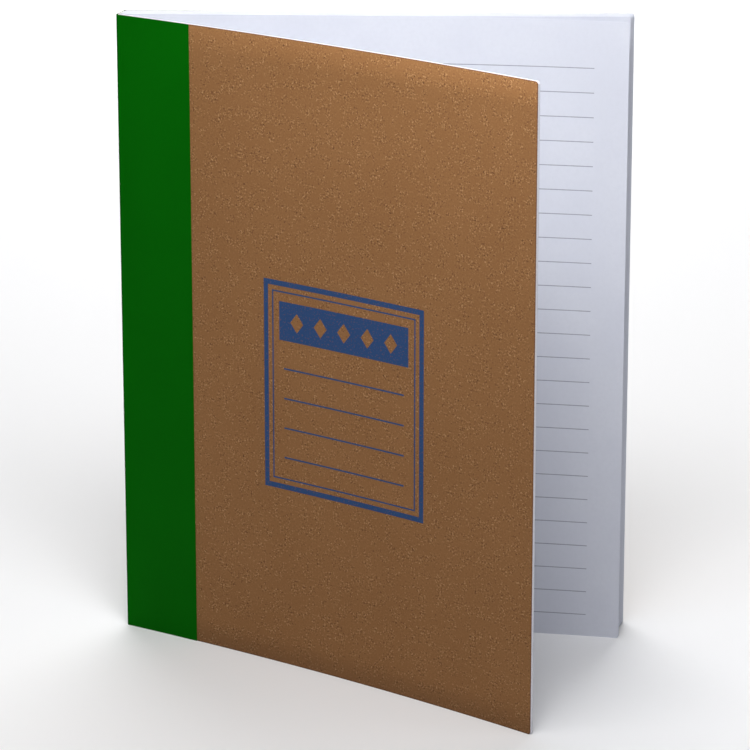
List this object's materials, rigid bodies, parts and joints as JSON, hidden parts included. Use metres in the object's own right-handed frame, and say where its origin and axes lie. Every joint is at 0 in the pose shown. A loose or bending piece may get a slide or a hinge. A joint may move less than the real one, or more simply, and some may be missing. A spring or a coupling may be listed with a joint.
{
  "type": "notebook",
  "caption": "Upright soft-cover notebook with kraft board covers, a green tape spine and ruled white pages, its front cover standing ajar on a hinge crease.",
  "frame": {"origin": "under the middle of the outer box of the standing, partly opened notebook, on the surface it stands on", "axes": "+X from the spine to the fore edge, +Y from the front cover to the back cover, +Z from tail to head"},
  "size_m": [0.142, 0.0906, 0.178],
  "materials": {
    "pages": "uncoated white writing paper",
    "glue": "dried binding glue",
    "tape": "smooth satin binding tape",
    "kraft": "matte kraft with fine flecks",
    "lining": "matte white card"
  },
  "bodies": {
    "book_block": {"page_block": "pages", "spine_glue": "glue", "spine_tape": "tape"},
    "front_board": {"front_cover": "kraft", "front_lining": "lining", "front_tape": "tape"},
    "back_board": {"back_cover": "kraft", "back_lining": "lining", "back_tape": "tape"}
  },
  "joints": [
    {"name": "front_cover_crease", "type": "hinge", "parent": "book_block", "child": "front_board", "pos_m": [-0.07039, 0.03913, 0], "axis": [0, 0, -1], "range_deg": [-30, 137.5]},
    {"name": "back_cover_crease", "type": "hinge", "parent": "book_block", "child": "back_board", "pos_m": [-0.06899, 0.04473, 0], "axis": [0, 0, 1], "range_deg": [0, 170]}
  ]
}
